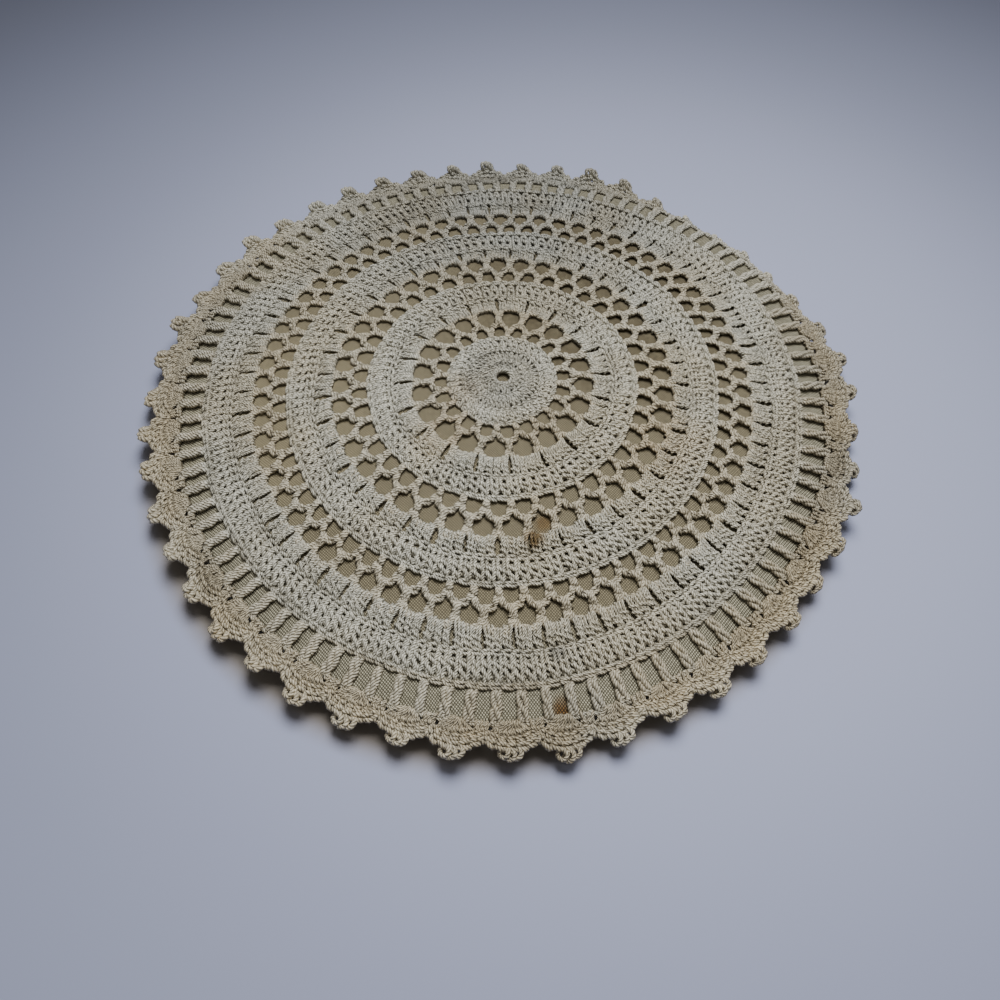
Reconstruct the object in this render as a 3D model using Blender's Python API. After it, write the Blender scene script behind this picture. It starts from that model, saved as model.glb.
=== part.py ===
"""A round crocheted cover with a scalloped picot edge, lying on a domed linen pad.

Two solids.  The pad is filled, crowned and flat underneath.  The cover is one
sheet of crochet that follows the pad's crown, rolls over its rim and ends in
scallops that stand clear of the table.  Its rounds of loops are cut through.
The origin is the middle of the pad's flat underside and +Z is up.  Lengths are
metres, and angles are degrees counted anticlockwise from +X.
"""
import math

import bmesh
import bpy
from mathutils import Vector
from mathutils.geometry import delaunay_2d_cdt

# ---- the crown: the height of the crochet's upper face over its radius ----
CROWN_HEIGHT = 0.021        # table to the crochet's middle
CROWN_FALL = 0.458          # height lost for each square metre of radius squared
ROLL_START = 0.140          # from here the crochet turns down over the pad's rim
ROLL_FALL = 4.0             # the further height lost past that radius

# ---- the crochet ----
COVER_THICKNESS = 0.0024
VALLEY_RADIUS = 0.1575      # between two scallops
PICOT_RADIUS = 0.1645       # the picots' tips
SCALLOPS = 49
SCALLOP_PITCH = 360.0 / SCALLOPS
FIRST_SCALLOP = 270.0       # a picot points this way
PICOT_RISE = 0.0014         # the picot's knob stands this much over the sheet
PICOT_INSET = 0.0026        # from the picot's tip to the middle of its knob
RIDGE_HEIGHT = 0.0007       # the chain ridges between two rounds of stitches
RIDGE_HALF_WIDTH = 0.0016
CENTRE_HOLE_RADIUS = 0.0032
CENTRE_HOLE_SIDES = 10

# ---- the pad ----
SEAT_GAP = 0.0003           # pad to crochet
PAD_RADIUS = 0.1510         # at its widest
PAD_WIDEST_HEIGHT = 0.0042
PAD_FOOT_RADIUS = 0.1445    # the flat underside
PAD_SHOULDER_RADIUS = 0.1400
PAD_SIDES = 72

# ---- how the round work is drawn out of true ----
LOBE_REACH = 0.0030         # three soft lobes in the outline
LOBE_ANGLE = 30.0
SKEW = 1.5                  # the stitches crowd together towards one side
SKEW_ANGLE = 150.0

DRIFT = 0.0011              # the rounds lie this far from the middle hole
DRIFT_ANGLE = 257.0
DRIFT_FROM = (0.004, 0.022)  # radii over which the drift comes in
DRIFT_TO = (0.138, 0.158)   # and goes again
TUCK = 0.27                 # share by which the near side's edge is drawn in
TUCK_RADIUS = 0.149
TUCK_ANGLE = 270.0
TUCK_SPREAD = 28.0

# Where the scallops stand up or droop.
RIM_LIFTS = (
    # name, direction, spread, lift of the picots
    ("far side", 95.0, 38.0, 0.0020),
    ("far right", 35.0, 20.0, -0.0025),
    ("left side", 180.0, 30.0, 0.0008),
    ("near side", 270.0, 45.0, -0.0010),
)

# One scallop from its valley to its picot and back.
SCALLOP_POINTS = (
    # share of the pitch, share of the way from valley to picot
    (0.00, 0.00),
    (0.20, 0.32),
    (0.36, 0.50),
    (0.35, 0.82),
    (0.44, 1.00),
    (0.56, 1.00),
    (0.65, 0.82),
    (0.64, 0.50),
    (0.80, 0.32),
)

# The loops' shapes: shares of the loop's width and of its radial length,
# anticlockwise from the corner nearest the middle of the work.
ARCHED_LOOP = ((0.50, 0.04), (0.50, 0.55), (0.16, 1.00), (-0.16, 1.00), (-0.50, 0.55), (-0.50, 0.04))
PEAKED_LOOP = ((0.10, 0.00), (0.50, 0.45), (0.34, 0.96), (-0.34, 0.96), (-0.50, 0.45), (-0.10, 0.00))
SLOT_LOOP = ((0.50, 0.00), (0.46, 1.00), (-0.46, 1.00), (-0.50, 0.00))

# The rounds that are cut through, from the middle out.
LOOP_ROUNDS = (
    # name, loops, direction of one loop, inner radius, outer radius, width, shape
    ("first net, inner", 20, 3.3, 0.0259, 0.0314, 0.0052, ARCHED_LOOP),
    ("first net, outer", 20, 12.3, 0.0322, 0.0407, 0.0076, PEAKED_LOOP),
    ("second net, inner", 40, -2.2, 0.0625, 0.0684, 0.0052, ARCHED_LOOP),
    ("second net, outer", 40, 2.3, 0.0688, 0.0768, 0.0072, PEAKED_LOOP),
    ("third net, outer", 65, -3.0, 0.1040, 0.1129, 0.0075, PEAKED_LOOP),
    ("tall stitches", 98, FIRST_SCALLOP, 0.1367, 0.1470, 0.0055, SLOT_LOOP),
)

# The chain ridges that stand up between two rounds of stitches.
RIDGES = (
    # radius, points round it
    (0.0516, 48),
    (0.0873, 72),
    (0.1242, 96),
)
RIM_RING_RADIUS = 0.1515    # the sheet bends here, between the slots and the scallops
RIM_RING_POINTS = 98

COVER_COLOUR = (0.56, 0.53, 0.43, 1.0)
PAD_COLOUR = (0.42, 0.37, 0.25, 1.0)
SHARP_EDGE_ANGLE = 40.0


def rim_lift(angle):
    """How far the picots in this direction stand up from the even roll."""
    lift = 0.0
    for _, direction, spread, height in RIM_LIFTS:
        off = (angle - direction + 180.0) % 360.0 - 180.0
        lift += height * math.exp(-(off / spread) ** 2)
    return lift


def crown(radius, angle=None):
    """Height of the crochet's upper face, with its rim's lift where an angle is given."""
    past = max(0.0, radius - ROLL_START)
    height = CROWN_HEIGHT - CROWN_FALL * radius ** 2 - ROLL_FALL * past ** 2
    if angle is not None:
        height += rim_lift(angle) * (past / (PICOT_RADIUS - ROLL_START)) ** 2
    return height


def skewed(angle):
    """The direction in which a stitch really lies."""
    return angle - SKEW * math.cos(math.radians(angle - SKEW_ANGLE))


def smooth_step(value, start, end):
    """From 0 at the start to 1 at the end."""
    share = min(1.0, max(0.0, (value - start) / (end - start)))
    return share * share * (3.0 - 2.0 * share)


def settled(radius, angle):
    """Where a point of the crochet lies once its rounds have drifted and its edge is drawn in."""
    turn, way = math.radians(angle), math.radians(DRIFT_ANGLE)
    drift = DRIFT * smooth_step(radius, *DRIFT_FROM) * (1.0 - smooth_step(radius, *DRIFT_TO))
    x = radius * math.cos(turn) + drift * math.cos(way)
    y = radius * math.sin(turn) + drift * math.sin(way)
    radius, angle = math.hypot(x, y), math.degrees(math.atan2(y, x))
    off = (angle - TUCK_ANGLE + 180.0) % 360.0 - 180.0
    drawn_in = TUCK * math.exp(-(off / TUCK_SPREAD) ** 2) * max(0.0, radius - TUCK_RADIUS)
    return radius - drawn_in, angle


def spread_out(radius, angle, height):
    """A point of the round work, drawn out into the outline's three lobes."""
    share = (radius / PICOT_RADIUS) ** 3
    lobed = radius + LOBE_REACH * share * math.cos(math.radians(3.0 * (angle - LOBE_ANGLE)))
    turn = math.radians(angle)
    return Vector((lobed * math.cos(turn), lobed * math.sin(turn), height))


def ring(radius, count):
    """Evenly spaced (radius, angle) points."""
    return [(radius, 360.0 * step / count) for step in range(count)]


def scallop_outline():
    """The cover's outer edge as (radius, angle) points, anticlockwise."""
    points = []
    for scallop in range(SCALLOPS):
        valley = FIRST_SCALLOP + (scallop - 0.5) * SCALLOP_PITCH
        for along, out in SCALLOP_POINTS:
            radius = VALLEY_RADIUS + (PICOT_RADIUS - VALLEY_RADIUS) * out
            points.append((radius, skewed(valley + along * SCALLOP_PITCH)))
    return points


def loop_outline(direction, inner, outer, width, shape):
    """One cut loop as (radius, angle) points, anticlockwise."""
    middle = (inner + outer) / 2
    points = []
    for along, out in shape:
        radius = inner + (outer - inner) * out
        points.append((radius, direction - math.degrees(along * width / middle)))
    return points


def cut_loops():
    """Every loop that goes through the cover."""
    loops = [ring(CENTRE_HOLE_RADIUS, CENTRE_HOLE_SIDES)]
    for _, count, first, inner, outer, width, shape in LOOP_ROUNDS:
        for step in range(count):
            direction = skewed(first + 360.0 * step / count)
            loops.append(loop_outline(direction, inner, outer, width, shape))
    return loops


def upper_details():
    """Points with a rise of their own on the upper face: the ridges and the picots' knobs."""
    points = []
    for radius, count in RIDGES:
        points += [(point, 0.0) for point in ring(radius - RIDGE_HALF_WIDTH, count)]
        points += [(point, RIDGE_HEIGHT) for point in ring(radius, count)]
        points += [(point, 0.0) for point in ring(radius + RIDGE_HALF_WIDTH, count)]
    for scallop in range(SCALLOPS):
        direction = skewed(FIRST_SCALLOP + scallop * SCALLOP_PITCH)
        points.append(((PICOT_RADIUS - PICOT_INSET, direction), PICOT_RISE))
    return points


def triangulate(borders, inner_points):
    """Triangles between the first border and the others, over the given inner points."""
    flat = [point for border in borders for point in border] + inner_points
    places = []
    for radius, angle in flat:
        turn = math.radians(angle)
        places.append(Vector((radius * math.cos(turn), radius * math.sin(turn))))
    rims = []
    start = 0
    for border in borders:
        rims.append(list(range(start, start + len(border))))
        start += len(border)
    result = delaunay_2d_cdt(places, [], rims, 0, 1e-7)
    triangles, sources, regions = result[2], result[3], result[5]
    kept = []
    for triangle, region in zip(triangles, regions):
        if list(region) == [0]:
            kept.append([sources[corner][0] for corner in triangle])
    return flat, rims, kept


def add_sheet_face(mesh, borders, inner, height_of, upward):
    """One face of the cover; returns its vertices in the order of the flat points."""
    rises = [rise for _, rise in inner]
    flat, rims, triangles = triangulate(borders, [point for point, _ in inner])
    rises = [0.0] * (len(flat) - len(inner)) + rises
    corners = []
    for point, rise in zip(flat, rises):
        radius, angle = settled(*point)
        corners.append(mesh.verts.new(spread_out(radius, angle, height_of(radius, angle) + rise)))
    for triangle in triangles:
        order = triangle if upward else triangle[::-1]
        mesh.faces.new([corners[index] for index in order])
    return corners, rims


def make_cover():
    """The crochet: an upper and a lower face, joined along the outline and every loop."""
    borders = [scallop_outline()] + cut_loops()
    bend = [(point, 0.0) for point in ring(RIM_RING_RADIUS, RIM_RING_POINTS)]
    mesh = bmesh.new()
    upper, rims = add_sheet_face(mesh, borders, upper_details() + bend, crown, True)
    lower, _ = add_sheet_face(mesh, borders, bend,
                              lambda radius, angle: crown(radius, angle) - COVER_THICKNESS, False)
    for rim in rims:
        for here, there in zip(rim, rim[1:] + rim[:1]):
            mesh.faces.new((lower[here], lower[there], upper[there], upper[here]))
    bmesh.ops.recalc_face_normals(mesh, faces=mesh.faces)
    return finish("crochet_cover", mesh, COVER_COLOUR, 0.8)


def pad_profile():
    """The pad's section from its top down to its foot, as (radius, height) points."""
    under = COVER_THICKNESS + SEAT_GAP
    section = []
    for radius in (0.035, 0.070, 0.100, 0.122, PAD_SHOULDER_RADIUS):
        section.append((radius, crown(radius) - under))
    for degrees in (18.0, 36.0, 54.0, 72.0, 90.0):
        turn = math.radians(degrees)
        radius = PAD_SHOULDER_RADIUS + (PAD_RADIUS - PAD_SHOULDER_RADIUS) * math.sin(turn)
        drop = (crown(PAD_RADIUS) - under - PAD_WIDEST_HEIGHT) * (1.0 - math.cos(turn))
        section.append((radius, crown(radius) - under - drop))
    for degrees in (45.0, 90.0):
        turn = math.radians(degrees)
        radius = PAD_RADIUS - (PAD_RADIUS - PAD_FOOT_RADIUS) * (1.0 - math.cos(turn))
        section.append((radius, PAD_WIDEST_HEIGHT * (1.0 - math.sin(turn))))
    return section


def make_pad():
    """The filled pad: rings of its section between a crown point and the flat underside."""
    mesh = bmesh.new()
    rings = []
    for radius, height in pad_profile():
        rings.append([mesh.verts.new(spread_out(r, angle, height)) for r, angle in ring(radius, PAD_SIDES)])
    top = mesh.verts.new((0.0, 0.0, crown(0.0) - COVER_THICKNESS - SEAT_GAP))
    for side in range(PAD_SIDES):
        following = (side + 1) % PAD_SIDES
        mesh.faces.new((top, rings[0][side], rings[0][following]))
        for above, below in zip(rings, rings[1:]):
            mesh.faces.new((above[side], below[side], below[following], above[following]))
    mesh.faces.new(rings[-1][::-1])
    bmesh.ops.recalc_face_normals(mesh, faces=mesh.faces)
    return finish("linen_pad", mesh, PAD_COLOUR, 0.9)


def finish(name, mesh, colour, roughness):
    """A bmesh becomes a smooth-shaded object with its own material."""
    data = bpy.data.meshes.new(name)
    mesh.to_mesh(data)
    mesh.free()
    data.shade_smooth()
    data.set_sharp_from_angle(angle=math.radians(SHARP_EDGE_ANGLE))
    material = bpy.data.materials.new(name)
    material.use_nodes = True
    shader = material.node_tree.nodes["Principled BSDF"]
    shader.inputs["Base Color"].default_value = colour
    shader.inputs["Roughness"].default_value = roughness
    shader.inputs["Metallic"].default_value = 0.0
    material.diffuse_color = colour
    data.materials.append(material)
    piece = bpy.data.objects.new(name, data)
    bpy.context.scene.collection.objects.link(piece)
    return piece


def clear_scene():
    """Start from an empty scene."""
    for leftover in list(bpy.data.objects):
        bpy.data.objects.remove(leftover, do_unlink=True)


clear_scene()
make_pad()
make_cover()
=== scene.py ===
"""Looks of the crocheted doily on its linen pad: every stitch is laid as real cord.

The cover is first drawn flat, as round work: x to the right, y away from the
near side, and a rise over the crochet's middle layer.  `lay` then puts it on
the pad's crown.  Lengths are metres, angles are degrees anticlockwise from +X.
"""
import math

import bpy
import numpy as np
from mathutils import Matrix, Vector


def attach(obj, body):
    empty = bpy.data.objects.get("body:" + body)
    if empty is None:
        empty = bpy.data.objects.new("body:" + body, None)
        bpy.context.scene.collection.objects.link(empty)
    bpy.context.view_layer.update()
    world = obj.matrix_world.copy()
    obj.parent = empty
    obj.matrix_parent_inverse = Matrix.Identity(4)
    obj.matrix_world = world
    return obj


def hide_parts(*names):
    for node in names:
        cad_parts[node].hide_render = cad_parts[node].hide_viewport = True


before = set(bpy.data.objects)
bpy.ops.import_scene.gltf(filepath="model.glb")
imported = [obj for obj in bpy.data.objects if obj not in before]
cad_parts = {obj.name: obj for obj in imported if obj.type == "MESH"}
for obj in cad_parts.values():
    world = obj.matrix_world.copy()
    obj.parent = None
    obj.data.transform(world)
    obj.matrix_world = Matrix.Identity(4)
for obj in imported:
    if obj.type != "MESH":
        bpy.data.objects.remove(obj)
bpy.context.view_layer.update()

# ---- the form that the cover lies in, as in the part ----
CROWN_HEIGHT = 0.021
CROWN_FALL = 0.458
ROLL_START = 0.14
ROLL_FALL = 4.0
COVER_THICKNESS = 0.0024
PICOT_RADIUS = 0.1645
LOBE_REACH = 0.003
LOBE_ANGLE = 30.0
SKEW = 1.5
SKEW_ANGLE = 150.0
RIM_LIFTS = (
    # direction, spread, lift of the picots
    (95.0, 38.0, 0.002),  # far side
    (35.0, 20.0, -0.0025),  # far right
    (180.0, 30.0, 0.0008),  # left side
    (270.0, 45.0, -0.001),  # near side
)
DRIFT = 0.0011  # the rounds lie this far from the middle hole
DRIFT_ANGLE = 257.0
DRIFT_FROM = (0.004, 0.022)  # radii over which the drift comes in
DRIFT_TO = (0.138, 0.158)  # and goes again
TUCK = 0.32  # share by which the near side's edge is drawn in
TUCK_START = 0.149  # between these radii
TUCK_END = 0.158
TUCK_ANGLE = 270.0
TUCK_SPREAD = 42.0
RUFFLE = 0.0009  # the scallops' own unevenness
RUFFLE_START = 0.147
CURL = 0.0036  # the scallops' tips curl up this far
CURL_FROM = (0.1545, 0.1675)
SCALLOP_TIP = 0.002  # the far scallops rise to a point
RIM_FORM = (
    # how the rim lies off the even crown: direction, spread, radii where that starts and is full,
    # further up, further out
    (92.0, 44.0, 0.128, 0.17, -0.0032, -0.0053),  # far side turned down
    (47.0, 17.0, 0.1455, 0.158, -0.0035, -0.0056),  # far right folded under
    (25.0, 13.0, 0.15, 0.164, 0.001, -0.0102),  # right drawn in
    (356.0, 6.0, 0.15, 0.164, 0.0, -0.0038),  # scallops at the very right
    (138.0, 16.0, 0.15, 0.162, 0.0, -0.004),  # far left drawn in
    (165.0, 7.0, 0.15, 0.162, 0.0, -0.0042),  # left drawn in
    (104.0, 10.0, 0.15, 0.164, 0.0, -0.002),  # far scallops drawn in
    (255.0, 7.0, 0.149, 0.16, 0.0, -0.0018),  # near left drawn in
    (306.0, 17.0, 0.149, 0.16, 0.0, -0.001),  # near right drawn in
)
LOWEST_CORD = 0.0013  # height of a cord's middle where the rim lies on the floor

# ---- the pad ----
SEAT_GAP = 0.0003
PAD_RADIUS = 0.151
PAD_WIDEST_HEIGHT = 0.0042
PAD_FOOT_RADIUS = 0.1445
PAD_SHOULDER_RADIUS = 0.1462
PAD_BULGE = 0.0009  # the soft pad swells up into the crochet
PAD_SINK = 0.0006  # and has sunk under it on the right
PAD_SINK_ANGLE = 340.0
PAD_SINK_FROM = (0.01, 0.05)  # between these radii
PAD_SINK_TO = (0.12, 0.138)
PAD_DIMPLE = 0.0012  # it dips in the middle hole
PAD_DIMPLE_TO = (0.002, 0.01)
PAD_SIDE_SINK = 0.0006  # and under the tall stitches on the left and right
PAD_SIDE_FROM = (0.134, 0.141)
PAD_FAR_RISE = 0.0006  # it stands higher under the far side's tall stitches
PAD_FAR_FROM = (0.134, 0.146)
PAD_FAR_EASE = 0.01  # such forms ease off below these heights
PAD_EASE = 0.008
PAD_SIDES = 192
PAD_RING_STEP = 0.004

# ---- the cord ----
CORD_RADIUS = 0.00075
TIGHT_CORD_RADIUS = 0.00062  # where it is pulled round a chain
CORD_SIDES = 5
CORD_SPACING = 0.0014  # between two rings of a cord's mesh
TOP_HALF_WIDTH = 0.00075  # of the V-shaped tops, between the cords' middles
NET_HALF_WIDTH = 0.00065
NET_HALF_WIDTHS = np.array([0.0003, 0.00055, 0.0007, 0.0007, 0.00055, 0.0003])[None, :, None]
NET_CORD_RADIUS = 0.0008
NET_RIGHT_GAIN = 0.06  # by this share the nets' cords are stouter on the right
NET_RIGHT_ANGLE = 25.0
BACK_DROP = -0.0006  # the cord that runs behind a chain's links
BACK_SPACING = 0.002
JITTER = 0.00012  # how far a cord strays from true
UNEVEN = 0.00016  # how far a stitch's foot or head does
WAVER = 0.0004  # the slow wandering of the whole work
ARCH_WANDER = 0.0003  # how much one arch differs from the next
ROUND_WANDER = 0.08  # degrees by which a dense round's stitches stray
TONE_SPREAD = 0.15  # how much one cord's brightness differs from the next
SEED = 11
LOWEST = -0.0009  # rise over the middle layer where the cord is painted darkest, as painted shade where it lies deep in the work
HIGHEST = 0.001  # and brightest

# ---- colours and surfaces ----
# The cord's colour runs from painted shade where it lies deep in the work to pale where it lies highest.
CORD_PAINTED_SHADE = (0.2, 0.18, 0.125, 1.0)
CORD_PALE = (0.86, 0.845, 0.73, 1.0)
PLY_GROOVE_SHADE = (0.48, 0.45, 0.38, 1.0)  # painted shade in the groove between two plies
GROOVE_WIDTH = 0.8
CORD_BUMP = 0.0004
CORD_SPECKLE = (0.35, 0.62, 0.62, 1.12)  # noise from and to, brightness from and to
CORD_ROUGHNESS = 0.5
PLIES = 3.0
PLY_TURNS = 8.0  # turns for each 10 mm of the cord
FINE_NOISE = 900.0  # scales of the noise
WANDER_NOISE = 60.0
BLOTCH_NOISE = 220.0
AGED_NOISE = 22.0
AGED_FROM = (0.42, 0.62)  # the cotton browns between these values of it
AGED_TINT = (0.95, 0.9, 0.82, 1.0)
LINEN_PITCH = 0.00081
LINEN_SLANT = 43.0
LINEN_WANDER = 0.0012  # how far the threads run out of true
LINEN_UNEVEN = (2.0, -0.1)  # gain and offset of its threads' noise
LINEN_BUMP = 0.0002
LINEN_ROUGHNESS = 0.85
LINEN_GAPS = 1.3  # how wide the painted shade in the gaps between its threads is
LINEN_RIM_LIGHT_FROM = (0.112, 0.136)  # radii over which the linen goes from painted shade to painted light
# Valley colours are painted shade in the gaps between threads; the first pair is painted darker for the
# shade under the nets, the rim-lit pair paler and of more contrast as painted light.
LINEN_VALLEY = (0.092, 0.077, 0.047, 1.0)
LINEN_VALLEY_RIM_LIT = (0.045, 0.038, 0.02, 1.0)
LINEN_HILL = (0.465, 0.405, 0.253, 1.0)
LINEN_HILL_RIM_LIT = (0.79, 0.745, 0.55, 1.0)
# The floor: a painted pool of light round the object, the plain floor beyond it, and a painted shadow
# beneath the rim.
FLOOR_PAINTED_POOL = (0.437, 0.475, 0.665, 1.0)
FLOOR_FAR = (0.375, 0.41, 0.58, 1.0)
FLOOR_PAINTED_SHADOW = (0.27, 0.24, 0.21, 1.0)
FLOOR_ROUGHNESS = 0.7

MARK_CORE = 0.25  # share of a mark's reach that is strongest
BROWN = (0.34, 0.25, 0.14, 1.0)
TAN = (0.8, 0.62, 0.42, 1.0)
GREY = (0.45, 0.47, 0.52, 1.0)
# Marks on the cotton and on the linen: stains and rust of age, and patches of painted shade and painted
# light where parts lie darker or paler in the light.
COTTON_MARKS = (
    # x, y, how far it reaches, how strong it is, what it tints with
    (0.0125, -0.079, 0.0062, 1.0, BROWN),  # spot under the second net
    (-0.019, -0.0073, 0.015, 0.3, TAN),  # left of the middle
    (-0.0272, -0.0283, 0.02, 0.25, TAN),  # left of the first net
    (0.0718, -0.0348, 0.026, 0.25, TAN),  # right, on the second net
    # These six marks are painted shade: the right, near and left edges, the far side and the middle painted
    # darker.
    (0.168, 0.022, 0.055, 0.35, GREY),  # right edge, further
    (0.162, -0.05, 0.055, 0.35, GREY),  # right edge, nearer
    (0.01, -0.165, 0.05, 0.35, GREY),  # near edge
    (-0.148, 0.045, 0.055, 0.25, GREY),  # left edge
    (0.0, 0.15, 0.15, 1.0, (0.68, 0.7, 0.74, 1.0)),  # far side
    (0.0, 0.0, 0.03, 0.35, GREY),  # middle
    (0.0205, -0.125, 0.005, 0.8, GREY),  # grey by the near ridge
)
WORN_TINT = (0.84, 0.77, 0.67, 1.0)
WORN_FROM = (0.0, 0.12)  # from the near side's share to the far side's between these y
# How much the open rounds and the rim have yellowed.
WORN = {
    # piece: on the near side, on the far side, outside which radius
    "crochet_net_1": (0.7, 0.65, 0.0),
    "crochet_nets": (0.65, 0.55, 0.0),
    "crochet_border": (0.55, 0.05, 0.1365),
    "crochet_shells": (1.0, 0.15, 0.0),
    "crochet_picots": (0.8, 0.15, 0.0),
}
LINEN_MARKS = (
    # the same columns
    # The first mark is painted shade on the far right, the second painted light on the left.
    (0.045, 0.055, 0.1, 0.9, (0.55, 0.52, 0.46, 1.0)),  # far right
    (-0.105, -0.015, 0.075, 0.9, (1.3, 1.29, 1.26, 1.0)),  # paler on the left
    (0.0165, -0.072, 0.006, 0.9, TAN),  # beside the spot
    (0.0226, -0.146, 0.0075, 1.0, (0.42, 0.24, 0.09, 1.0)),  # rust at the near edge
)

# One V of a chain: each of its two legs, from where it comes up to where it dives.
LINK = (
    # share of the link, share of the half width, rise
    (0.0, 0.05, -0.0006),
    (0.32, 0.62, 0.00035),
    (0.78, 1.04, 0.00042),
    (1.12, 0.8, -0.0004),
)

# The cords of a stitch's post: two legs side by side, two turns wound across them, the last cord
# leaning to the right under the V.
POST = (
    # share of the half width, share of the height, rise and, where it is not 0, further out
    ((-1.05, -0.1, -0.0002, -0.0006), (-1.0, 0.06, 0.0003), (-0.85, 0.3, 0.0004),
     (-0.55, 0.52, 0.0005), (-0.2, 0.68, 0.0004), (0.05, 0.82, 0.0002), (0.2, 0.93, -0.0003),
     (0.3, 1.05, -0.001)),
    ((0.85, -0.1, -0.0002, -0.0006), (0.88, 0.06, 0.0003), (0.95, 0.28, 0.0003),
     (1.05, 0.46, 0.0003), (1.1, 0.62, 0.0002), (1.05, 0.78, 0.0), (1.0, 0.92, -0.0008)),
    ((-1.45, 0.2, -0.0008), (-1.05, 0.25, 0.0006), (0.0, 0.34, 0.0011), (1.05, 0.43, 0.0005),
     (1.45, 0.48, -0.0008)),
    ((-1.3, 0.44, -0.0008), (-0.9, 0.51, 0.0006), (-0.1, 0.64, 0.0009), (0.7, 0.76, 0.0005),
     (1.3, 0.84, -0.0008)),
)


def hook(start, end):
    """The same columns for a cord that comes round a bar of chain."""
    return ((start, 0.0, -0.0012, 0.0009), (start, 0.0, -0.0012, -0.0007),
            (start, 0.0, 0.0, -0.0011), (end, 0.0, 0.001, -0.0002))


# A post that is worked round such a bar.
WRAPPED_POST = (
    hook(-1.05, -1.0) + ((-0.98, 0.22, 0.0007), (-0.9, 0.42, 0.0004), (-0.7, 0.62, 0.0003),
     (-0.35, 0.8, 0.0003), (0.6, 1.0, -0.0006)),
    hook(0.0, 0.0) + ((0.0, 0.22, 0.0008), (-0.05, 0.48, 0.0004), (0.05, 0.68, 0.0002),
     (0.5, 0.84, 0.0002), (1.2, 0.99, -0.0006)),
    hook(1.05, 1.0) + ((0.98, 0.22, 0.0007), (0.9, 0.42, 0.0003), (0.85, 0.6, 0.0002),
     (0.95, 0.76, 0.0001), (1.45, 0.95, -0.0007)),
    ((-1.45, 0.3, -0.0008), (-1.1, 0.34, 0.0006), (0.0, 0.42, 0.0011), (1.1, 0.5, 0.0005),
     (1.45, 0.54, -0.0008)),
    ((-1.4, 0.58, -0.0008), (-1.05, 0.62, 0.0007), (0.05, 0.71, 0.0011), (1.1, 0.8, 0.0005),
     (1.45, 0.85, -0.0008)),
)
# A stitch of a fan: one cord round the chain, a second that joins it further out, and a turn
# wound across both.
FAN_POST = (
    ((0.0, 0.0, -0.0012, 0.0009), (0.0, 0.0, -0.0012, -0.0008), (0.0, 0.0, 0.0, -0.0013),
     (0.0, 0.0, 0.0012, -0.0003), (-0.35, 0.25, 0.0009), (-0.6, 0.55, 0.0006), (-0.4, 0.8, 0.0005),
     (0.3, 1.03, -0.0006)),
    ((0.0, 0.1, 0.0), (0.35, 0.35, 0.0007), (0.6, 0.6, 0.0004), (0.8, 0.8, 0.0003),
     (1.3, 1.0, -0.0006)),
    ((-1.5, 0.34, -0.0008), (-0.95, 0.42, 0.0008), (0.3, 0.56, 0.0012), (1.1, 0.66, 0.0006),
     (1.6, 0.74, -0.0008)),
)
# The knot where two arches of the net meet.
KNOT = (
    ((-1.0, 0.0, -0.001, -0.0011), (-1.0, 0.0, 0.0, -0.0014), (-0.9, 0.0, 0.0012, -0.0006),
     (-0.3, 0.5, 0.0011), (0.7, 1.0, 0.0004), (0.9, 1.2, -0.0009)),
    ((1.0, 0.0, -0.001, -0.0011), (1.0, 0.0, 0.0, -0.0014), (0.9, 0.0, 0.0011, -0.0006),
     (0.4, 0.5, 0.0006), (-0.6, 1.0, 0.0006), (-0.9, 1.2, -0.0009)),
)

# An arch of the net's two rows: share of half the pitch, share of the climb, steps aside.
INNER_ARCH = ((-1.0, -0.1, 0.35), (-1.0, 0.28, 0.6), (-0.7, 0.76, 0.0), (0.0, 1.0, 0.0),
              (0.7, 0.76, 0.0), (1.0, 0.28, -0.6), (1.0, -0.1, -0.35))
OUTER_ARCH = ((-1.0, -0.06, 0.4), (-1.0, 0.36, 0.65), (-0.93, 0.8, 0.35), (-0.52, 1.04, 0.0),
              (0.52, 1.04, 0.0), (0.93, 0.8, -0.35), (1.0, 0.36, -0.65), (1.0, -0.06, -0.4))

# The two chains over a scallop: share of half its pitch, radius.
SCALLOP_TOPS = ((-1.0, 0.1528), (-0.74, 0.1545), (-0.46, 0.156), (-0.16, 0.1568),
                (0.16, 0.1568), (0.46, 0.156), (0.74, 0.1545))
SCALLOP_ROPE = ((-1.0, 0.1552), (-0.86, 0.1577), (-0.56, 0.1593), (-0.18, 0.16),
                (0.18, 0.16), (0.56, 0.1593), (0.86, 0.1577))

# ---- the rounds, from the middle out ----
SCALLOPS = 49
SCALLOP_PITCH = 360.0 / SCALLOPS
FIRST_SCALLOP = 270.0

# Dense rounds of stitches: the radius of their feet and of the V-shaped tops.
ROUNDS = (
    # piece, stitches, foot radius, top radius
    ("crochet_middle", 20, 0.0042, 0.0098),
    ("crochet_middle", 40, 0.0104, 0.0172),
    ("crochet_middle", 40, 0.018, 0.0236),
    ("crochet_middle", 80, 0.0516, 0.0597),
    ("crochet_ring_2", 130, 0.0873, 0.0966),
    ("crochet_border", 196, 0.1243, 0.135),
)
# Open net: two rows of chain arches, then groups of stitches worked into the outer row.
NETS = (
    # net's piece, groups' piece, arches, direction of an inner loop,
    # edge, apex and arch radius, cord radius, stitches in a group, radius of the groups' tops
    ("crochet_net_1", "crochet_groups_1", 20, 3.3, 0.0248, 0.0329, 0.0422, 0.00084, 4, 0.0502),
    ("crochet_nets", "crochet_ring_2", 40, -2.2, 0.0613, 0.0699, 0.0784, 0.00094, 3, 0.0859),
    ("crochet_nets", "crochet_ring_3", 65, -0.3, 0.0982, 0.1062, 0.1142, 0.00094, 3, 0.1231),
)
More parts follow.
